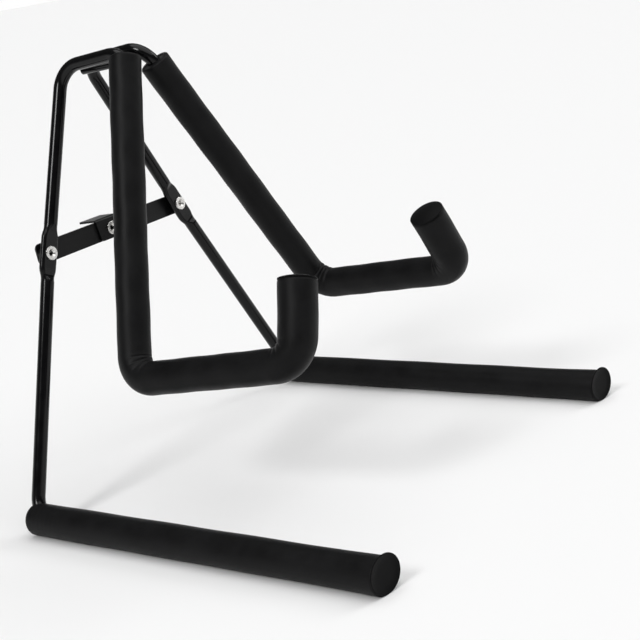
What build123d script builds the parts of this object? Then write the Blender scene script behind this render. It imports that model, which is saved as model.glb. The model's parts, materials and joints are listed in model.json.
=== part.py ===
from build123d import *
import os
from math import acos, atan, cos, degrees, radians, sin, tan

# Folding A-frame guitar stand. Millimetres and degrees, +Z up, the front faces -Y, left is -X.
# Each side is one bent tube that lies in a plane. "Forward" and "down" are measured in that plane
# from the corner where the rear leg's axis meets the top bar's axis.

# ---- driving dimensions: tube ----
TUBE_RADIUS = 4.75
TUBE_WALL = 1.2
SPREAD = 25.5            # lean of each side's plane from the vertical
TOP_HALF_GAP = 12.1      # half the distance between the two rear corners
REAR_CORNER = (0.0, 0.0)
LEG_PIVOT = (7.6, 134.4)
FOOT_CORNER = (25.5, 318.4)
FRONT_CORNER = (61.8, -6.4)
ARM_CORNER = (103.8, 219.2)
CRADLE_CORNER = (235.7, 202.6)
TIP_END = (229.3, 152.0)
FOOT_LENGTH = 283.0      # from the foot corner to the front end
TOP_BEND = 16.5
FOOT_BEND = 17.0
ARM_BEND = 17.5
TIP_BEND = 17.0

# ---- driving dimensions: pressed part of the leg ----
PRESS_WIDTH = 13.8
PRESS_THICKNESS = 5.0
PRESS_REACH = 20.5       # from the pivot to where the tube is round again
PRESS_FLAT = 10.5        # half the length at full width
PRESS_SHOULDER = 5.0     # length over which the thickness drops
PRESS_EDGE = 0.1         # fine step where the die's mark ends on the round tube
PRESS_STEPS = 8
EDGE_FLAT = 0.01         # narrow flat on the rounded edge, so that it can be lofted

# ---- driving dimensions: foam and caps ----
FOOT_FOAM = 11.1
FOOT_SQUASH = 0.4        # how far the foot foam is pressed flat by the floor
FOOT_FOAM_ARC = 49.0     # how far the foam follows the bend up from the foot
ARM_FOAM = 11.2
TIP_FOAM = 12.5
TIP_FOAM_LENGTH = 27.0
TIP_TAPER = 8.0
LEFT_FOAM_TOP = 5.0      # from the front corner down to the sleeve's open end
RIGHT_FOAM_TOP = 13.0
CAP_SKIRT = 1.0
CAP_DOME = 2.0
CAP_SEAM = 0.5
CAP_ROUND = 0.4
FOOT_CAP_RADIUS = 11.7
FOOT_CAP_THICKNESS = 1.2
FOOT_CAP_LIFT = 0.05
FOOT_CAP_CHAMFER = 0.4
FOOT_CUT = 10.0          # both feet are cut at a slant, turned towards -X

# ---- driving dimensions: top hinge ----
HINGE_START = 8.5        # forward of the rear corners
KNUCKLE = 15.0
KNUCKLE_GAP = 0.2
BARREL_RADIUS = 2.8
PIN_RADIUS = 1.3
PIN_CLEARANCE = 0.05
PIN_HEAD_RADIUS = 2.0
PIN_HEAD = 0.8
LEAF_THICKNESS = 1.5
LEAF_RISE = 27.0
LEAF_REACH = 10.5
HINGE_DROP = 5.4         # pin axis below the rear corners, measured at the rear corners

# ---- driving dimensions: brace ----
LINK_WIDTH = 15.0
LINK_THICKNESS = 1.5
LINK_LEG_END = 4.4       # from the leg pivot to the link's end
LINK_SETBACK = 5.0       # from the leg's axis back to the front link
LINK_GAP = 0.1
OVERLAP_TOP = 14.5       # how far the front link runs past the centre pivot
OVERLAP_BOTTOM = 12.5
OVERLAP_ROUND = 2.5
FLANGE_INNER_END = 7.5   # the stop flange's other end, on the leg side of the centre pivot
FLANGE_DEPTH = 15.5
FLANGE_GAP = 0.2
FLANGE_ROUND = 2.1
CORNER_STEP = 0.6        # flat left between the two rounded corners of a link end
RIVET_RADIUS = 2.5
RIVET_CLEARANCE = 0.05
RIVET_HEAD_RADIUS = 5.0
RIVET_HEAD = 1.4
RIVET_RECESS_RADIUS = 3.0
RIVET_RECESS = 1.3
RIVET_BORE_RADIUS = 1.7
RIVET_BORE = 3.0
RIVET_TAIL_RADIUS = 3.4
RIVET_TAIL = 1.1
RIVET_ROUND = 0.5
SPACER_RADIUS = 4.3

# ---- derived places ----
AXIS_TILT = degrees(atan(LEG_PIVOT[0] / (LEG_PIVOT[1] * cos(radians(SPREAD)))))
CORNER_HEIGHT = FOOT_CORNER[1] * cos(radians(SPREAD)) + FOOT_FOAM - FOOT_SQUASH
CUT_PLACE = (FOOT_CORNER[0] + FOOT_LENGTH + 1.0, FOOT_CORNER[1])
FRONT_REACH = (
    CUT_PLACE[0] + FOOT_CAP_THICKNESS * cos(radians(FOOT_CUT))
    + (FOOT_CAP_RADIUS - FOOT_CAP_CHAMFER) * sin(radians(FOOT_CUT))
)
FLANGE_TOP = LINK_WIDTH / 2 + FLANGE_GAP + LINK_THICKNESS
REAR_REACH = (
    (LINK_SETBACK + LINK_THICKNESS + FLANGE_DEPTH) * cos(radians(AXIS_TILT))
    + FLANGE_TOP * sin(radians(AXIS_TILT))
    - LEG_PIVOT[0]
)
REAR_Y = (FRONT_REACH - REAR_REACH) / 2
AXIS = Vector(0, -cos(radians(AXIS_TILT)), sin(radians(AXIS_TILT)))

side = Plane(
    origin=(-TOP_HALF_GAP, REAR_Y, CORNER_HEIGHT),
    x_dir=(0, -1, 0),
    z_dir=(-cos(radians(SPREAD)), 0, sin(radians(SPREAD))),
)


def flat(place):
    """Turn a (forward, down) pair into the side plane's own coordinates."""
    return (place[0], -place[1])


def in_space(place):
    """Turn a (forward, down) pair into a point in space, on the left side."""
    return side.from_local_coords(Vector(place[0], -place[1], 0))


def along(start, end, distance):
    """The (forward, down) pair at a distance from start on the way to end."""
    step = Vector(end[0] - start[0], end[1] - start[1], 0).normalized() * distance
    return (start[0] + step.X, start[1] + step.Y)


def mirrored(piece):
    """The same piece on the other side of the stand."""
    with BuildPart() as twin:
        mirror(piece.part, about=Plane.YZ)
    return twin


def save(piece, name):
    piece.part.label = name
    export_step(piece.part, f"parts/{name}.step")


# ---- frame tube ----
pivot_place = in_space(LEG_PIVOT)
upper_start = along(LEG_PIVOT, REAR_CORNER, PRESS_REACH)
lower_start = along(LEG_PIVOT, FOOT_CORNER, PRESS_REACH)
foot_end = (FOOT_CORNER[0] + FOOT_LENGTH, FOOT_CORNER[1])
leg_up = (in_space(REAR_CORNER) - pivot_place).normalized()

with BuildLine(side) as upper_route:
    FilletPolyline(
        *[flat(p) for p in (upper_start, REAR_CORNER, FRONT_CORNER, ARM_CORNER, CRADLE_CORNER, TIP_END)],
        radius=[TOP_BEND, TOP_BEND, ARM_BEND, TIP_BEND],
    )

with BuildLine(side) as lower_route:
    FilletPolyline(flat(lower_start), flat(FOOT_CORNER), flat(foot_end), radius=FOOT_BEND)


def tube_along(route, radius, bore):
    """A round tube along a route, or a solid bar where the bore is zero."""
    with BuildPart() as tube:
        with BuildSketch(Plane(origin=route.line @ 0, z_dir=route.line % 0)):
            Circle(radius)
            if bore > 0:
                Circle(bore, mode=Mode.SUBTRACT)
        sweep(path=route.line)
    return tube


def press_section(distance):
    """Width and thickness of the pressed leg at a distance from the pivot."""
    spread = min(1.0, max(0.0, (PRESS_REACH - distance) / (PRESS_REACH - PRESS_FLAT)))
    squeeze = min(1.0, max(0.0, (PRESS_REACH - distance) / PRESS_SHOULDER))
    ease_wide = (1 - cos(spread * radians(180))) / 2
    ease_thin = (1 - cos(squeeze * radians(180))) / 2
    neck = 2 * (TUBE_RADIUS - PRESS_EDGE)
    width = neck + (PRESS_WIDTH - neck) * ease_wide
    thickness = neck - (neck - PRESS_THICKNESS) * ease_thin
    return width, thickness


def pressed_half(end_place, straight):
    """The pressed stretch from the pivot on the way to end_place. Its flat part points along straight."""
    direction = (in_space(end_place) - pivot_place).normalized()
    stretch = PRESS_REACH - PRESS_FLAT
    with BuildPart() as half:
        for share in [None] + [i / PRESS_STEPS for i in range(PRESS_STEPS + 1)]:
            distance = 0.0 if share is None else PRESS_FLAT + stretch * share
            bend = share or 0.0
            way = (straight * (1 - bend) + direction * bend).normalized()
            width, thickness = press_section(distance)
            with BuildSketch(Plane(pivot_place + way * distance, x_dir=way.cross(AXIS), z_dir=way)):
                RectangleRounded(width, thickness, thickness / 2 - EDGE_FLAT)
        loft(ruled=True)
    return half


def build_frame_tube():
    bore = TUBE_RADIUS - TUBE_WALL
    with BuildPart() as tube:
        add(tube_along(upper_route, TUBE_RADIUS, bore).part)
        add(tube_along(lower_route, TUBE_RADIUS, bore).part)
        add(pressed_half(upper_start, leg_up).part)
        add(pressed_half(lower_start, -leg_up).part)
        with BuildSketch(Plane(origin=pivot_place, x_dir=(1, 0, 0), z_dir=AXIS)):
            Circle(RIVET_RADIUS)
        extrude(amount=PRESS_THICKNESS, both=True, mode=Mode.SUBTRACT)
    return tube


# ---- foam sleeves ----
tube_outside = tube_along(upper_route, TUBE_RADIUS, 0)
leg_outside = tube_along(lower_route, TUBE_RADIUS, 0)


def build_arm_foam(top_gap):
    """Sleeve over arm, cradle and tip. Its open end is top_gap below the front corner."""
    tip_start = along(TIP_END, CRADLE_CORNER, TIP_FOAM_LENGTH)
    taper_start = along(TIP_END, CRADLE_CORNER, TIP_FOAM_LENGTH + TIP_TAPER)
    tip_up = (in_space(TIP_END) - in_space(CRADLE_CORNER)).normalized()
    sleeve_top = along(FRONT_CORNER, ARM_CORNER, top_gap)
    with BuildLine(side) as route:
        FilletPolyline(
            *[flat(p) for p in (sleeve_top, ARM_CORNER, CRADLE_CORNER, TIP_END)],
            radius=[ARM_BEND, TIP_BEND],
        )
    with BuildPart() as foam:
        add(tube_along(route, ARM_FOAM, 0).part)
        with BuildSketch(Plane(origin=in_space(tip_start), z_dir=tip_up)):
            Circle(TIP_FOAM)
        extrude(amount=TIP_FOAM_LENGTH)
        with BuildSketch(Plane(origin=in_space(taper_start), z_dir=tip_up)) as taper_low:
            Circle(ARM_FOAM)
        with BuildSketch(Plane(origin=in_space(tip_start), z_dir=tip_up)) as taper_high:
            Circle(TIP_FOAM)
        loft([taper_low.sketch, taper_high.sketch])
        add(tube_outside.part, mode=Mode.SUBTRACT)
    return foam


def cut_plane(slant):
    """The slanted plane at a foot's front end. A positive slant faces outwards."""
    return Plane(origin=in_space(CUT_PLACE), z_dir=(-sin(radians(slant)), -cos(radians(slant)), 0))


def build_foot_foam(slant):
    """Sleeve over the foot. It is pressed flat where it stands on the floor."""
    leg_way = Vector(lower_start[0] - FOOT_CORNER[0], lower_start[1] - FOOT_CORNER[1], 0)
    turn = degrees(acos(leg_way.normalized().dot(Vector(-1, 0, 0))))
    bend_start = FOOT_CORNER[0] + FOOT_BEND * tan(radians(turn / 2))
    with BuildLine(side) as route:
        straight = Line((foot_end[0] + FOOT_FOAM / 2, -FOOT_CORNER[1]), (bend_start, -FOOT_CORNER[1]))
        JernArc(start=straight @ 1, tangent=straight % 1, radius=FOOT_BEND, arc_size=-FOOT_FOAM_ARC)
    with BuildPart() as foam:
        add(tube_along(route, FOOT_FOAM, 0).part)
        with BuildSketch(cut_plane(slant)):
            Circle(2 * FOOT_FOAM)
        extrude(amount=2 * FOOT_FOAM, mode=Mode.SUBTRACT)
        add(leg_outside.part, mode=Mode.SUBTRACT)
        split(bisect_by=Plane.XY, keep=Keep.TOP)
    return foam


# ---- caps ----
def build_tip_cap():
    """Low dome that closes the tip, with a shallow seam where it meets the sleeve."""
    tip_up = (in_space(TIP_END) - in_space(CRADLE_CORNER)).normalized()
    base = Plane(origin=in_space(TIP_END), z_dir=tip_up)
    dome_radius = (TIP_FOAM**2 + CAP_DOME**2) / (2 * CAP_DOME)
    height = CAP_SKIRT + CAP_DOME
    with BuildPart() as cap:
        with BuildSketch(base):
            Circle(TIP_FOAM)
        extrude(amount=height)
        with Locations(base.offset(height - dome_radius)):
            Sphere(dome_radius, mode=Mode.INTERSECT)
        rims = cap.edges().filter_by(lambda edge: edge.is_closed).sort_by(Axis(base.origin, tip_up))
        chamfer(rims[0], CAP_SEAM)
        rims = cap.edges().filter_by(lambda edge: edge.is_closed).sort_by(Axis(base.origin, tip_up))
        fillet(rims[-1], CAP_ROUND)
    return cap


def build_foot_cap(slant):
    """Flat disc on the front end of the foot, a little larger than the sleeve. It just clears the floor."""
    face = cut_plane(slant)
    centre = Vector(face.origin.X, face.origin.Y, FOOT_CAP_RADIUS + FOOT_CAP_LIFT)
    with BuildPart() as cap:
        with BuildSketch(Plane(origin=centre, z_dir=face.z_dir)):
            Circle(FOOT_CAP_RADIUS)
        extrude(amount=FOOT_CAP_THICKNESS)
        chamfer(cap.faces().sort_by(Axis.Y)[0].edges(), FOOT_CAP_CHAMFER)
    return cap


# ---- top hinge ----
hinge_length = 3 * KNUCKLE
hinge_rear = Vector(0, REAR_Y, CORNER_HEIGHT - HINGE_DROP) + AXIS * HINGE_START
hinge_base = Plane(origin=hinge_rear, x_dir=(1, 0, 0), z_dir=AXIS)


def build_leaf(direction, own_knuckles, bore, tube):
    """One leaf. direction is -1 for the left side and 1 for the right side."""
    angle = radians(LEAF_RISE)
    middle = (direction * LEAF_REACH / 2 * cos(angle), LEAF_REACH / 2 * sin(angle))
    others = [i for i in range(3) if i not in own_knuckles]
    with BuildPart() as leaf:
        with BuildSketch(hinge_base):
            with Locations(Location((middle[0], middle[1], 0), (0, 0, direction * LEAF_RISE))):
                Rectangle(LEAF_REACH, LEAF_THICKNESS)
        extrude(amount=hinge_length)
        for i in others:
            with BuildSketch(hinge_base.offset(i * KNUCKLE - KNUCKLE_GAP)):
                Circle(BARREL_RADIUS + 2 * KNUCKLE_GAP)
            extrude(amount=KNUCKLE + 2 * KNUCKLE_GAP, mode=Mode.SUBTRACT)
        for i in own_knuckles:
            start = i * KNUCKLE + (KNUCKLE_GAP if i > 0 else 0)
            end = (i + 1) * KNUCKLE - (KNUCKLE_GAP if i < 2 else 0)
            with BuildSketch(hinge_base.offset(start)):
                Circle(BARREL_RADIUS)
            extrude(amount=end - start)
        with BuildSketch(hinge_base):
            Circle(bore)
        extrude(amount=hinge_length, mode=Mode.SUBTRACT)
        add(tube.part, mode=Mode.SUBTRACT)
    return leaf


def build_hinge_pin():
    """Plain pin with a low head at each end."""
    with BuildPart() as pin:
        with BuildSketch(hinge_base):
            Circle(PIN_RADIUS)
        extrude(amount=hinge_length)
        for start in (-PIN_HEAD, hinge_length):
            with BuildSketch(hinge_base.offset(start)):
                Circle(PIN_HEAD_RADIUS)
            extrude(amount=PIN_HEAD)
    return pin


# ---- folding brace ----
# The brace plane passes through the leg axes, square to the hinge pin. Its +z is forward.
brace = Plane(origin=(0, pivot_place.Y, pivot_place.Z), x_dir=(1, 0, 0), z_dir=AXIS)
half_span = -pivot_place.X
plate_face = PRESS_THICKNESS / 2
front_link_face = -LINK_SETBACK
front_link_back = front_link_face - LINK_THICKNESS
rear_link_face = front_link_back - LINK_GAP
rear_link_back = rear_link_face - LINK_THICKNESS


def build_left_link():
    """Rear link: a plain bar with a round end at the centre."""
    with BuildPart() as link:
        with BuildSketch(brace.offset(rear_link_back)):
            with Locations(((-half_span - LINK_LEG_END) / 2, 0)):
                Rectangle(half_span + LINK_LEG_END, LINK_WIDTH)
            Circle(LINK_WIDTH / 2)
            with Locations((-half_span, 0), (0, 0)):
                Circle(RIVET_RADIUS + RIVET_CLEARANCE, mode=Mode.SUBTRACT)
        extrude(amount=LINK_THICKNESS)
        leg_end = link.edges().filter_by(Axis(brace.origin, AXIS)).group_by(Axis.X)[0]
        fillet(leg_end, LINK_LEG_END - CORNER_STEP)
    return link


def build_right_link():
    """Front link: it runs past the centre and its top edge is bent back over the rear link as a stop."""
    top = LINK_WIDTH / 2
    with BuildPart() as link:
        with BuildSketch(brace.offset(front_link_back)):
            with BuildLine():
                Polyline((half_span + LINK_LEG_END, -top), (half_span + LINK_LEG_END, top),
                         (FLANGE_INNER_END, top), (FLANGE_INNER_END, FLANGE_TOP),
                         (-OVERLAP_TOP, FLANGE_TOP), (-OVERLAP_BOTTOM, -top), close=True)
            make_face()
            with Locations((half_span, 0), (0, 0)):
                Circle(RIVET_RADIUS + RIVET_CLEARANCE, mode=Mode.SUBTRACT)
        extrude(amount=LINK_THICKNESS)
        upright = link.edges().filter_by(Axis(brace.origin, AXIS))
        fillet(upright.group_by(Axis.X)[-1], LINK_LEG_END - CORNER_STEP)
        corner = link.edges().filter_by(Axis(brace.origin, AXIS)).sort_by_distance(
            brace.from_local_coords(Vector(-OVERLAP_BOTTOM, -top, front_link_back)))[0]
        fillet(corner, OVERLAP_ROUND)
        with BuildSketch(brace.offset(front_link_face)):
            with Locations(((FLANGE_INNER_END - OVERLAP_TOP) / 2, FLANGE_TOP - LINK_THICKNESS / 2)):
                Rectangle(FLANGE_INNER_END + OVERLAP_TOP, LINK_THICKNESS)
        extrude(amount=-LINK_THICKNESS - FLANGE_DEPTH)
        fold = link.edges().filter_by(Axis.X).sort_by_distance(
            brace.from_local_coords(Vector(0, FLANGE_TOP, front_link_face)))[0]
        fillet(fold, FLANGE_ROUND)
    return link


def build_rivet_head(place, face):
    """Round head, sitting on the piece whose face is at this depth."""
    with BuildPart() as head:
        with BuildSketch(brace.offset(face)):
            with Locations(place):
                Circle(RIVET_HEAD_RADIUS)
        extrude(amount=RIVET_HEAD)
        fillet(head.edges().filter_by(GeomType.CIRCLE).group_by(Axis(brace.origin, AXIS))[-1], RIVET_ROUND)
    return head


def hollow_head(place, face):
    """The hollow of a tubular rivet: a funnel that narrows to a blind bore."""
    top = face + RIVET_HEAD
    with BuildPart() as hollow:
        with BuildSketch(brace.offset(top - RIVET_RECESS)):
            with Locations(place):
                Circle(RIVET_BORE_RADIUS)
        extrude(amount=-(RIVET_BORE - RIVET_RECESS))
        with BuildSketch(brace.offset(top - RIVET_RECESS)):
            with Locations(place):
                Circle(RIVET_BORE_RADIUS)
        with BuildSketch(brace.offset(top)):
            with Locations(place):
                Circle(RIVET_RECESS_RADIUS)
        loft()
    return hollow


def build_shank(place, front, back, tail):
    """Shank between two depths, with a flared tail behind it where tail is set."""
    with BuildPart() as shank:
        with BuildSketch(brace.offset(back)):
            with Locations(place):
                Circle(RIVET_RADIUS)
        extrude(amount=front - back)
        if tail:
            with BuildSketch(brace.offset(back)):
                with Locations(place):
                    Circle(RIVET_TAIL_RADIUS)
            extrude(amount=-RIVET_TAIL)
            fillet(shank.edges().filter_by(GeomType.CIRCLE).group_by(Axis(brace.origin, AXIS))[0], RIVET_ROUND)
    return shank


def build_rivet(x, front_face, link_back):
    """Whole rivet: head against front_face, shank, and a tail just behind the link."""
    with BuildPart() as rivet:
        add(build_rivet_head((x, 0), front_face).part)
        add(build_shank((x, 0), front_face, link_back - LINK_GAP, True).part)
        add(hollow_head((x, 0), front_face).part, mode=Mode.SUBTRACT)
    return rivet


def build_spacer(x, front_face, link_face):
    """Washer between the pressed leg and the link."""
    depth = link_face + LINK_GAP - front_face
    with BuildPart() as washer:
        with BuildSketch(brace.offset(front_face)):
            with Locations((x, 0)):
                Circle(SPACER_RADIUS)
                Circle(RIVET_RADIUS, mode=Mode.SUBTRACT)
        extrude(amount=depth)
    return washer


os.makedirs("parts", exist_ok=True)
left_tube = build_frame_tube()
tip_cap = build_tip_cap()
right_tube_outside = mirrored(tube_outside)

save(left_tube, "left_frame_tube")
save(mirrored(left_tube), "right_frame_tube")
save(build_arm_foam(LEFT_FOAM_TOP), "left_arm_foam")
save(mirrored(build_arm_foam(RIGHT_FOAM_TOP)), "right_arm_foam")
save(build_foot_foam(FOOT_CUT), "left_foot_foam")
save(mirrored(build_foot_foam(-FOOT_CUT)), "right_foot_foam")
save(tip_cap, "left_tip_cap")
save(mirrored(tip_cap), "right_tip_cap")
save(build_foot_cap(FOOT_CUT), "left_foot_cap")
save(mirrored(build_foot_cap(-FOOT_CUT)), "right_foot_cap")
save(build_leaf(-1, [0, 2], PIN_RADIUS, tube_outside), "left_hinge_leaf")
save(build_leaf(1, [1], PIN_RADIUS + PIN_CLEARANCE, right_tube_outside), "right_hinge_leaf")
save(build_hinge_pin(), "hinge_pin")
save(build_left_link(), "left_brace_link")
save(build_right_link(), "right_brace_link")
save(build_rivet(-half_span, plate_face, rear_link_back), "left_pivot_rivet")
save(build_rivet(0, front_link_face + LINK_GAP, rear_link_back), "centre_rivet")
save(build_spacer(-half_span, -plate_face, rear_link_face), "left_pivot_spacer")
save(build_spacer(half_span, -plate_face - LINK_GAP, front_link_face), "right_pivot_spacer")

# The right leg's rivet is in two halves that meet at the back of the pressed leg.
with BuildPart() as right_head:
    add(build_rivet_head((half_span, 0), plate_face).part)
    add(build_shank((half_span, 0), plate_face, -plate_face, False).part)
    add(hollow_head((half_span, 0), plate_face).part, mode=Mode.SUBTRACT)
save(right_head, "right_rivet_head")
right_tail = build_shank((half_span, 0), -plate_face - LINK_GAP, front_link_back - LINK_GAP, True)
save(right_tail, "right_rivet_tail")
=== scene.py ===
import json
import math

import bpy
from mathutils import Matrix, Vector


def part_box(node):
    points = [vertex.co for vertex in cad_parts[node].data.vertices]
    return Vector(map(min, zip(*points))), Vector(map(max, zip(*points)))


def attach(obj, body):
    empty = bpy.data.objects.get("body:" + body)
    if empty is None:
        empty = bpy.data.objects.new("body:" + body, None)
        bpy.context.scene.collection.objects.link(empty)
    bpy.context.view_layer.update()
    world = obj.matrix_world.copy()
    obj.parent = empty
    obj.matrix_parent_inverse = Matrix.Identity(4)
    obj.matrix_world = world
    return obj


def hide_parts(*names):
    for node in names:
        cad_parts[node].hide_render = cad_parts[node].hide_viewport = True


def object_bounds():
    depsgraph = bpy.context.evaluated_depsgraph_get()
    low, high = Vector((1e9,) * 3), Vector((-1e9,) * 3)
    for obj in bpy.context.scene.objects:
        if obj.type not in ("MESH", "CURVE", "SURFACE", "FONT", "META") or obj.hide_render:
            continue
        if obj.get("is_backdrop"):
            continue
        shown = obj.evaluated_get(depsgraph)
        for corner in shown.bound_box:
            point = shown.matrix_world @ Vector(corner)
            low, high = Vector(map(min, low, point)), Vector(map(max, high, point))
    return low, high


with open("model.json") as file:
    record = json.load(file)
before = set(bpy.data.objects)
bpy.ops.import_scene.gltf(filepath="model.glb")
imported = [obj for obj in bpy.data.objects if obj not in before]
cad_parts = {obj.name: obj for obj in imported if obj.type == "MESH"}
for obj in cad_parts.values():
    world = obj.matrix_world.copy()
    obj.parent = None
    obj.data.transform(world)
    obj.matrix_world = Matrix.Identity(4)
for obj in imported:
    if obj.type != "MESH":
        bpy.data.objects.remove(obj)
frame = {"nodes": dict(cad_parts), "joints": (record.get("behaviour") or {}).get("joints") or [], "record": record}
nodes = frame["nodes"]


def write_size(key, low, high, sizes={}):
    sizes[key] = [list(low), list(high)]


cad_low, cad_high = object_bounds()
write_size("cad", cad_low, cad_high)

# ---- sizes in metres, worked out from the frame ----
SPREAD = math.radians(25.5)  # how far each side leans from upright
TOP_HALF_GAP = 0.0121  # half the distance between the sides at their rear top corners
TUBE = 0.00475  # radii of the steel tube, and of the foam on the foot, the arm and the tip
FOOT_FOAM = 0.0111
ARM_FOAM = 0.0112
TIP_FOAM = 0.0125
FOOT_LENGTH = 0.283
FOOT_CUT = math.radians(10)  # how far the front ends of the feet turn to the left
FLOOR_CLEARANCE = 0.0003

# (forward, down) places in a side's own plane, from its rear top corner
FOOT_CORNER = (0.0255, 0.3184)
FRONT_CORNER = (0.0618, -0.0064)
ARM_CORNER = (0.1038, 0.2192)
CRADLE_CORNER = (0.2357, 0.2026)
TIP_END = (0.2293, 0.1520)

tube_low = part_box("left_frame_tube")[0]
CORNER_Y = tube_low.y + FOOT_CORNER[0] + FOOT_LENGTH
CORNER_Z = tube_low.z + TUBE + FOOT_CORNER[1] * math.cos(SPREAD)


# ---- materials ----
def new_material(name, base, roughness, **others):
    """A Principled material. Values are set straight on the shader's sockets."""
    material = bpy.data.materials.new(name)
    material.use_nodes = True
    shader = material.node_tree.nodes["Principled BSDF"]
    shader.inputs["Base Color"].default_value = (*base, 1)
    shader.inputs["Roughness"].default_value = roughness
    for socket, value in others.items():
        shader.inputs[socket.replace("_", " ")].default_value = value
    return material, material.node_tree, shader


def noise(tree, scale, detail=4.0, roughness=0.5, stretch=(1, 1, 1)):
    """Noise in object space, stretched per axis."""
    place = tree.nodes.new("ShaderNodeTexCoord")
    mapping = tree.nodes.new("ShaderNodeMapping")
    mapping.inputs["Scale"].default_value = stretch
    texture = tree.nodes.new("ShaderNodeTexNoise")
    texture.inputs["Scale"].default_value = scale
    texture.inputs["Detail"].default_value = detail
    texture.inputs["Roughness"].default_value = roughness
    tree.links.new(place.outputs["Object"], mapping.inputs["Vector"])
    tree.links.new(mapping.outputs["Vector"], texture.inputs["Vector"])
    return texture


def remap(tree, source, low, high, from_low=0.3, from_high=0.7):
    """Source mapped from one range to another, by default from noise's usual one."""
    node = tree.nodes.new("ShaderNodeMapRange")
    node.inputs["From Min"].default_value = from_low
    node.inputs["From Max"].default_value = from_high
    node.inputs["To Min"].default_value = low
    node.inputs["To Max"].default_value = high
    tree.links.new(source, node.inputs["Value"])
    return node.outputs["Result"]


def tint(tree, source, dark, light):
    """A colour between dark and light."""
    mix = tree.nodes.new("ShaderNodeMix")
    mix.data_type = "RGBA"
    mix.inputs["A"].default_value = (*dark, 1)
    mix.inputs["B"].default_value = (*light, 1)
    tree.links.new(source, mix.inputs["Factor"])
    return mix.outputs["Result"]


def bump(tree, shader, height, strength, distance, socket="Normal"):
    """A bump on top of whatever already drives the normal."""
    node = tree.nodes.new("ShaderNodeBump")
    node.inputs["Strength"].default_value = strength
    node.inputs["Distance"].default_value = distance
    tree.links.new(height, node.inputs["Height"])
    previous = shader.inputs[socket].links
    if previous:
        tree.links.new(previous[0].from_socket, node.inputs["Normal"])
    tree.links.new(node.outputs["Normal"], shader.inputs[socket])


def mottle(tree, shader, texture, roughness, dark, light):
    """Roughness and colour that both follow one noise."""
    value = texture.outputs["Fac"]
    tree.links.new(remap(tree, value, *roughness), shader.inputs["Roughness"])
    tree.links.new(tint(tree, remap(tree, value, 0, 1), dark, light), shader.inputs["Base Color"])


def gloss_enamel():
    """Black stove enamel on steel: deep gloss, faint orange peel, a little dust."""
    material, tree, shader = new_material(
        "frame_gloss_black", (0.006, 0.006, 0.007), 0.16, Specular_IOR_Level=0.12, Coat_Weight=0.24,
        Coat_Roughness=0.05,
    )
    dust = noise(tree, 90, 5, 0.6)
    mottle(tree, shader, dust, (0.12, 0.24), (0.0015, 0.0015, 0.0018), (0.0035, 0.0035, 0.0038))
    peel = noise(tree, 420, 2, 0.4)
    bump(tree, shader, peel.outputs["Fac"], 0.05, 0.0002)
    bump(tree, shader, peel.outputs["Fac"], 0.04, 0.0002, "Coat Normal")
    return material


def satin_paint():
    """Thin satin black on the flat brace bars, with rub marks."""
    material, tree, shader = new_material(
        "brace_black", (0.012, 0.012, 0.013), 0.36, Specular_IOR_Level=0.16, Coat_Weight=0.06,
        Coat_Roughness=0.22,
    )
    rub = noise(tree, 60, 6, 0.65, (0.4, 1, 2.5))
    mottle(tree, shader, rub, (0.28, 0.46), (0.0025, 0.0025, 0.0028), (0.006, 0.006, 0.0063))
    bump(tree, shader, noise(tree, 700, 2).outputs["Fac"], 0.06, 0.0002)
    return material


def foam_skin():
    """Closed-cell foam: matte, with fine pores, and scuffs where it rubs."""
    material, tree, shader = new_material(
        "foam_black", (0.008, 0.008, 0.008), 0.5, Specular_IOR_Level=0.11, Sheen_Roughness=0.5,
    )
    scuffs = noise(tree, 55, 6, 0.6)
    pores = noise(tree, 1900, 3, 0.7)
    mottle(tree, shader, scuffs, (0.36, 0.50), (0.0030, 0.0030, 0.0032), (0.0062, 0.0062, 0.0066))
    bump(tree, shader, pores.outputs["Fac"], 0.35, 0.00035)
    bump(tree, shader, scuffs.outputs["Fac"], 0.15, 0.0012)
    return material


def cap_plastic():
    """Moulded black end caps, a little duller than the foam."""
    material, tree, shader = new_material(
        "cap_black", (0.014, 0.014, 0.015), 0.5, Specular_IOR_Level=0.07,
    )
    grain = noise(tree, 900, 3, 0.6)
    mottle(tree, shader, grain, (0.42, 0.6), (0.0022, 0.0022, 0.0024), (0.0048, 0.0048, 0.0051))
    bump(tree, shader, grain.outputs["Fac"], 0.18, 0.0003)
    return material


def zinc_plate():
    """Bright zinc on the rivets, with a fine grain and a darker film in places."""
    material, tree, shader = new_material("zinc", (0.75, 0.74, 0.72), 0.24, Metallic=1.0)
    film = noise(tree, 500, 4, 0.6)
    mottle(tree, shader, film, (0.16, 0.36), (0.6, 0.59, 0.57), (0.86, 0.85, 0.83))
    bump(tree, shader, noise(tree, 1500, 2).outputs["Fac"], 0.08, 0.0001)
    return material


materials = {
    "frame_gloss_black": gloss_enamel(),
    "brace_black": satin_paint(),
    "foam_black": foam_skin(),
    "cap_black": cap_plastic(),
    "zinc": zinc_plate(),
}

# every CAD piece wears the material that its slot names
for part in frame["record"]["subparts"]:
    target = nodes[part["node"]]
    target.data.materials.clear()
    target.data.materials.append(materials[part["material_slot"]])

FORWARD = -Vector(frame["joints"][0]["axis"])  # along the hinge pin, to the front


def blacken_behind(node, reach):
    """The part of a rivet more than reach behind its front wears the brace's black material instead of zinc."""
    mesh = nodes[node].data
    mesh.materials.append(materials["brace_black"])
    front = max(v.co.dot(FORWARD) for v in mesh.vertices)
    for polygon in mesh.polygons:
        if polygon.center.dot(FORWARD) < front - reach:
            polygon.material_index = 1


blacken_behind("left_pivot_rivet", 0.003)
blacken_behind("centre_rivet", 0.002)


# ---- meshes made of rings ----
AROUND = 96  # vertices in each ring


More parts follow.
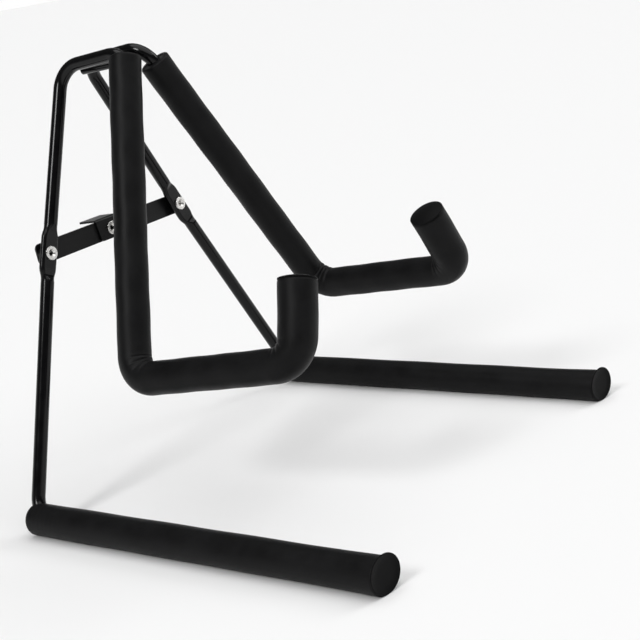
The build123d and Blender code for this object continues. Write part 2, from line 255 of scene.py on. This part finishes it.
def add_mesh(name, vertices, faces, material):
    """A smooth mesh in the scene."""
    mesh = bpy.data.meshes.new(name)
    mesh.from_pydata([tuple(v) for v in vertices], [], faces)
    mesh.validate()
    for polygon in mesh.polygons:
        polygon.use_smooth = True
    obj = bpy.data.objects.new(name, mesh)
    bpy.context.scene.collection.objects.link(obj)
    mesh.materials.append(material)
    return obj


def ring(centre, across, up, reach):
    """Points around a centre. reach(angle, out) says how far out each one lies."""
    spots = []
    for k in range(AROUND):
        angle = 2 * math.pi * k / AROUND
        out = across * math.cos(angle) + up * math.sin(angle)
        spots.append(centre + out * reach(angle, out))
    return spots


def wall(ring_count, first=0):
    """Faces between rings that follow each other, where first is the number of the first vertex."""
    faces = []
    for r in range(ring_count - 1):
        for k in range(AROUND):
            a = first + r * AROUND + k
            b = first + r * AROUND + (k + 1) % AROUND
            faces.append((a, b, b + AROUND, a + AROUND))
    return faces


def shear(spots, centre, slope):
    """Moves a ring's points along Y by their distance aside of the centre, so that it lies slanted."""
    for spot in spots:
        spot.y -= (spot.x - centre.x) * slope


# ---- foam sleeves: the visible skins, with creases on the inside of each bend ----
STEP = 0.0011  # between rings on a straight run
ARC_SHARE = 0.4  # of that step in a bend
FIRST_RINGS = (0.12, 0.3, 0.6)  # more rings within the first step, where the end is rounded
BEND_FADE = 0.6  # under 1, so that the creases reach far towards a bend's two ends
CUT_REACH = 0.02  # the length of skin that turns into the slanted cut
BORE_GAP = 0.0001  # between tube and foam
REAR_BORE = 0.004  # how deep the bore shows at the two ends
FRONT_BORE = 0.002
CLOSED_BORE = 0.0002  # a closed end has only a pinhole, this deep and this wide
PINHOLE = 0.0003


def smooth_step(value, start, end):
    """0 before start, 1 after end, and a smooth rise between them."""
    share = min(1.0, max(0.0, (value - start) / (end - start)))
    return share * share * (3 - 2 * share)


def in_space(place, hand):
    """A (forward, down) pair in a side's plane turned into a point. hand is -1 left, 1 right."""
    forward, down = place
    x = hand * (TOP_HALF_GAP + down * math.sin(SPREAD))
    return Vector((x, CORNER_Y - forward, CORNER_Z - down * math.cos(SPREAD)))


def heading(place, way, hand):
    """A way in a side's plane turned into a direction in space."""
    return (in_space((place.x + way.x, place.y + way.y), hand) - in_space(place, hand)).normalized()


def rounded_route(corners, radii):
    """Straight runs joined by arcs, as a list of (place, tangent, bend, inward).

    bend is 0 on a straight run and 1 in the middle of an arc, and inward points to the arc's centre."""
    route = []

    def straight(start, end):
        count = max(2, int((end - start).length / STEP))
        for i in range(count):
            route.append((start.lerp(end, i / count), (end - start).normalized(), 0.0, Vector((0, 0))))

    at = corners[0]
    for radius, corner, after in zip(radii, corners[1:], corners[2:]):
        way_in = (corner - at).normalized()
        way_out = (after - corner).normalized()
        turn = way_in.angle(way_out)
        cut = radius * math.tan(turn / 2)
        arc_start = corner - way_in * cut
        straight(at, arc_start)
        inward = (way_out - way_in).normalized()
        centre = corner + inward * (radius / math.cos(turn / 2))
        spoke = arc_start - centre
        sign = 1 if way_in.x * way_out.y - way_in.y * way_out.x > 0 else -1
        count = max(6, int(radius * turn / (STEP * ARC_SHARE)))
        for k in range(count):
            share = k / count
            turned = Matrix.Rotation(sign * turn * share, 2)
            bend = math.sin(math.pi * share) ** BEND_FADE
            route.append((centre + turned @ spoke, turned @ way_in, bend, -(turned @ spoke).normalized()))
        at = corner + way_out * cut
    straight(at, corners[-1])
    route.append((corners[-1].copy(), (corners[-1] - at).normalized(), 0.0, Vector((0, 0))))
    return route


def skin_rings(route, hand, across, radius_at, detail, slant):
    """The outer skin: one ring at each place of the route, sheared into the slanted cut at the far end."""
    rings = []
    run = 0.0
    total = sum((b[0] - a[0]).length for a, b in zip(route, route[1:]))
    previous = route[0][0]
    for place, tangent, bend, inward in route:
        run += (place - previous).length
        previous = place
        centre = in_space(place, hand)
        up = heading(place, tangent, hand).cross(across).normalized()
        inner = heading(place, inward, hand) if bend > 0 else Vector()

        def reach(angle, out):
            return radius_at(run, total) + detail(run, angle, bend, out.dot(inner))

        spots = ring(centre, across, up, reach)
        shear(spots, centre, math.tan(slant) * smooth_step(run, total - CUT_REACH, total))
        for spot in spots:
            spot.z = max(spot.z, FLOOR_CLEARANCE)
        rings.append(spots)
    return rings


def bore_rings(end, hand, across, depth, hole, slant):
    """Two rings of a bore: at an end of the route, and depth ahead of it."""
    place, tangent = end[0], end[1]
    centre = in_space(place, hand)
    ahead = heading(place, tangent, hand)
    up = ahead.cross(across).normalized()
    rings = []
    for inset in (0.0, depth):
        spots = ring(centre + ahead * inset, across, up, lambda angle, out: hole)
        shear(spots, centre, math.tan(slant))
        rings.append(spots)
    return rings


def sleeve(name, hand, corners, radii, radius_at, body, node, detail, slant=0.0, closed=False):
    """A foam tube with an open bore, swept along corners. detail(run, angle, bend, facing) moves the skin.

    facing is 1 on the inside of a bend and -1 on its outside. slant is the angle at which the far end is cut,
    seen from above. closed shuts the near end."""
    route = rounded_route([Vector(c) for c in corners], radii)
    first, second = route[0], route[1]
    route[1:1] = [(first[0].lerp(second[0], share), *first[1:]) for share in FIRST_RINGS]
    corner = in_space((0, 0), hand)
    across = (corner - in_space((1, 0), hand)).cross(corner - in_space((0, 1), hand)).normalized()

    near_depth, near_hole = (CLOSED_BORE, PINHOLE) if closed else (REAR_BORE, TUBE + BORE_GAP)
    near = bore_rings(route[0], hand, across, near_depth, near_hole, 0.0)
    skin = skin_rings(route, hand, across, radius_at, detail, slant)
    far = bore_rings(route[-1], hand, across, -FRONT_BORE, TUBE + BORE_GAP, slant)
    rings = near[::-1] + skin + far
    spots = [spot for one in rings for spot in one]

    obj = add_mesh(name, spots, wall(len(rings)), materials["foam_black"])
    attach(obj, body)
    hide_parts(node)


def toward(start, end, distance):
    """The place at a distance from start on the way to end."""
    way = (Vector(end) - Vector(start)).normalized() * distance
    return tuple(Vector(start) + way)


def rolled_end(run, reach):
    """How far a rounded edge has drawn the skin in, at a distance from the sleeve's end."""
    if run >= reach:
        return 0.0
    return reach - math.sqrt(max(0.0, reach**2 - (reach - run) ** 2))


def wave(kind, run, phase):
    """A wave of the skin. kind is its height, and its pace along the sleeve in radians per metre."""
    height, pace = kind
    return height * math.sin(run * pace + phase)


# the arm's sleeve
ARM_BENDS = (0.0175, 0.017)
ARM_GAPS = {"left": 0.005, "right": 0.013}  # from the top bend's corner to the foam
ARM_ROLL = 0.0014  # rounded edges at the top and at the tip
TIP_ROLL = 0.0005
SWELL_START = 0.062  # before the tip, where the sleeve begins and stops to get fatter
SWELL_END = 0.030
ARM_WAVES = (0.00010, 210)
ARM_LOBES = (0.00008, 60)
CREASE_DEPTH = 0.0011
CREASE_PACE = 520
CREASE_LEVEL = 0.75  # the share of a crease that lies below the skin


def arm_radius(run, total):
    """The tip sleeve is a little fatter than the arm, and each end is rolled in."""
    swell = smooth_step(run, total - SWELL_START, total - SWELL_END)
    radius = ARM_FOAM + (TIP_FOAM - ARM_FOAM) * swell
    return radius - rolled_end(run, ARM_ROLL) - rolled_end(total - run, TIP_ROLL)


def arm_detail(run, angle, bend, facing):
    """Slow waves everywhere, sharp creases on the inside of a bend."""
    slow = wave(ARM_WAVES, run, 2 * math.sin(angle)) + wave(ARM_LOBES, run, 3 * angle)
    if bend <= 0 or facing <= 0:
        return slow
    folds = abs(math.sin(run * CREASE_PACE + 0.5 * math.sin(2 * angle)))
    return slow + CREASE_DEPTH * bend * facing**1.5 * (folds**0.6 - CREASE_LEVEL)


# the foot's sleeve
FOOT_REAR = (0.0230, FOOT_CORNER[1])
FOOT_FRONT = (FOOT_CORNER[0] + FOOT_LENGTH + 0.001, FOOT_CORNER[1])
FOOT_ROLL = 0.0042
FOOT_FLARE = 0.0005
FLARE_REACH = 0.03
FOOT_RINGS = (0.00004, 2400)
FOOT_WAVES = (0.00010, 90)
LEG_CREASES = (0.00003, 1500)
CREASES_RISE = (0.004, 0.010)  # where the creases beside the leg come and go
CREASES_FALL = (0.02, 0.04)


def foot_radius(run, total):
    """The sleeve's rear end is rounded over, and the front flares a little to meet the disc."""
    return FOOT_FOAM - rolled_end(run, FOOT_ROLL) + FOOT_FLARE * smooth_step(run, total - FLARE_REACH, total)


def foot_detail(run, angle, bend, facing):
    """Fine rings and slow waves along the foot, and faint creases where the leg comes in."""
    ribs = wave(FOOT_RINGS, run, 0) + wave(FOOT_WAVES, run, 3 * math.sin(angle))
    fade = smooth_step(run, *CREASES_RISE) * (1 - smooth_step(run, *CREASES_FALL))
    return ribs + wave(LEG_CREASES, run, 0) * fade


for hand, side_name in ((-1, "left"), (1, "right")):
    sleeve(
        f"{side_name}_foot_sleeve", hand, [FOOT_REAR, FOOT_FRONT], [], foot_radius,
        f"{side_name}_side", f"{side_name}_foot_foam", foot_detail, FOOT_CUT, True,
    )
    arm_start = toward(FRONT_CORNER, ARM_CORNER, ARM_GAPS[side_name])
    sleeve(
        f"{side_name}_arm_sleeve", hand, [arm_start, ARM_CORNER, CRADLE_CORNER, TIP_END], ARM_BENDS,
        arm_radius, f"{side_name}_side", f"{side_name}_arm_foam", arm_detail,
    )


# ---- end discs of the feet: slightly dished, with a thin rim ----
DISC_RADIUS = 0.0123
DISC_RIM = 0.0006
DISC_EDGE = 0.0002  # the chamfer on the rim's outer edge
DISC_DISH = 0.0008  # how deep the middle of the face lies
DISC_LIFT = 0.0006  # above the middle of the CAD disc, so that the wider disc clears the floor


def disc_profile(back, front):
    """(radius, height) pairs from the middle of the back, around the rim, to the middle of the face."""
    return [
        (0.0, back),
        (DISC_RADIUS - DISC_RIM, back),
        (DISC_RADIUS, front - DISC_RIM),
        (DISC_RADIUS, front - DISC_EDGE),
        (DISC_RADIUS - DISC_EDGE, front),
        (DISC_RADIUS - DISC_RIM, front),
        (DISC_RADIUS - 2 * DISC_RIM, front - DISC_DISH / 2),
        (DISC_RADIUS / 2, front - DISC_DISH * 0.9),
        (0.0, front - DISC_DISH),
    ]


def foot_disc(name, body, node):
    """A dished disc that stands where the CAD disc does, square to the foot's slanted cut."""
    out = Vector((-math.sin(FOOT_CUT), -math.cos(FOOT_CUT), 0))
    over = Vector((0, 0, 1))
    aside = over.cross(out)
    spots = [v.co.copy() for v in nodes[node].data.vertices]
    low = Vector([min(s[i] for s in spots) for i in range(3)])
    high = Vector([max(s[i] for s in spots) for i in range(3)])
    middle = (low + high) / 2
    middle.z += DISC_LIFT
    heights = [(s - middle).dot(out) for s in spots]
    profile = disc_profile(min(heights), max(heights))

    vertices = [middle + out * profile[0][1]]
    for radius, height in profile[1:-1]:
        vertices += ring(middle + out * height, aside, over, lambda angle, way: radius)
    vertices.append(middle + out * profile[-1][1])
    last = len(vertices) - 1
    faces = wall(len(profile) - 2, 1)
    for k in range(AROUND):
        after = (k + 1) % AROUND
        faces.append((0, 1 + after, 1 + k))
        faces.append((last, last - AROUND + k, last - AROUND + after))

    obj = add_mesh(name, vertices, faces, materials["cap_black"])
    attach(obj, body)
    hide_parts(node)


for side_name in ("left", "right"):
    foot_disc(f"{side_name}_foot_disc", f"{side_name}_side", f"{side_name}_foot_cap")


# ---- floor and light ----
FLOOR_REACH = 40

floor_corners = [(x * FLOOR_REACH, y * FLOOR_REACH, 0) for x, y in ((-1, -1), (1, -1), (1, 1), (-1, 1))]
floor_white = new_material("floor_white", (0.86, 0.86, 0.86), 0.75)[0]
floor = add_mesh("floor", floor_corners, [(0, 1, 2, 3)], floor_white)
floor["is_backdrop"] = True


def studio_world():
    """Bright near and below the horizon, dim overhead, so that black paint stays black."""
    world = bpy.data.worlds.new("studio")
    world.use_nodes = True
    tree = world.node_tree
    place = tree.nodes.new("ShaderNodeTexCoord")
    split = tree.nodes.new("ShaderNodeSeparateXYZ")
    tree.links.new(place.outputs["Generated"], split.inputs["Vector"])
    height = remap(tree, split.outputs["Z"], 0.0, 1.0, 0.02, 0.30)
    colour = tint(tree, height, (1.0, 1.0, 1.0), (0.10, 0.10, 0.10))
    tree.links.new(colour, tree.nodes["Background"].inputs["Color"])
    tree.nodes["Background"].inputs["Strength"].default_value = 1.0
    bpy.context.scene.world = world


def seen_from(azimuth, elevation):
    """The way from the object to a light or a camera, given in degrees. Azimuth 0 is the front."""
    turn = math.radians(azimuth)
    rise = math.radians(elevation)
    return Vector((math.sin(turn) * math.cos(rise), -math.cos(turn) * math.cos(rise), math.sin(rise)))


def sun(name, azimuth, elevation, spread, strength):
    """A soft light from far away. azimuth, elevation and spread, how wide it looks, are in degrees."""
    data = bpy.data.lights.new(name, "SUN")
    data.angle = math.radians(spread)
    data.energy = strength
    light = bpy.data.objects.new(name, data)
    light.rotation_euler = seen_from(azimuth, elevation).to_track_quat("Z", "Y").to_euler()
    bpy.context.scene.collection.objects.link(light)


studio_world()
sun("key", azimuth=-95, elevation=42, spread=18, strength=1.25)
sun("top", azimuth=20, elevation=78, spread=80, strength=2.1)
sun("fill", azimuth=60, elevation=35, spread=20, strength=0.5)
bpy.context.scene.view_settings.view_transform = "Standard"

# ---- camera ----
CAMERA_AZIMUTH = -52.22
CAMERA_ELEVATION = 15.77
CAMERA_ROLL = math.radians(-10.13)
CAMERA_PLACE = Vector((-0.6815, CORNER_Y - 0.7086, CORNER_Z + 0.0524))
SENSOR = 36  # millimetres, as the lens is
LENS = 73.946
LENS_SHIFT = (0.00047, 0.0025)  # in widths of the picture

back = seen_from(CAMERA_AZIMUTH, CAMERA_ELEVATION)
right = (-back).cross(Vector((0, 0, 1))).normalized()
up = right.cross(-back)
rolled_right = right * math.cos(CAMERA_ROLL) + up * math.sin(CAMERA_ROLL)
rolled_up = up * math.cos(CAMERA_ROLL) - right * math.sin(CAMERA_ROLL)
camera_data = bpy.data.cameras.new("camera")
camera_data.sensor_width = SENSOR
camera_data.lens = LENS
camera_data.shift_x = LENS_SHIFT[0]
camera_data.shift_y = LENS_SHIFT[1]
camera_data.clip_start = 0.01
camera = bpy.data.objects.new("camera", camera_data)
turned = Matrix((rolled_right, rolled_up, back)).transposed().to_4x4()
camera.matrix_world = Matrix.Translation(CAMERA_PLACE) @ turned
bpy.context.scene.collection.objects.link(camera)
bpy.context.scene.camera = camera

visual_low, visual_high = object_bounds()
write_size("visual", visual_low, visual_high)
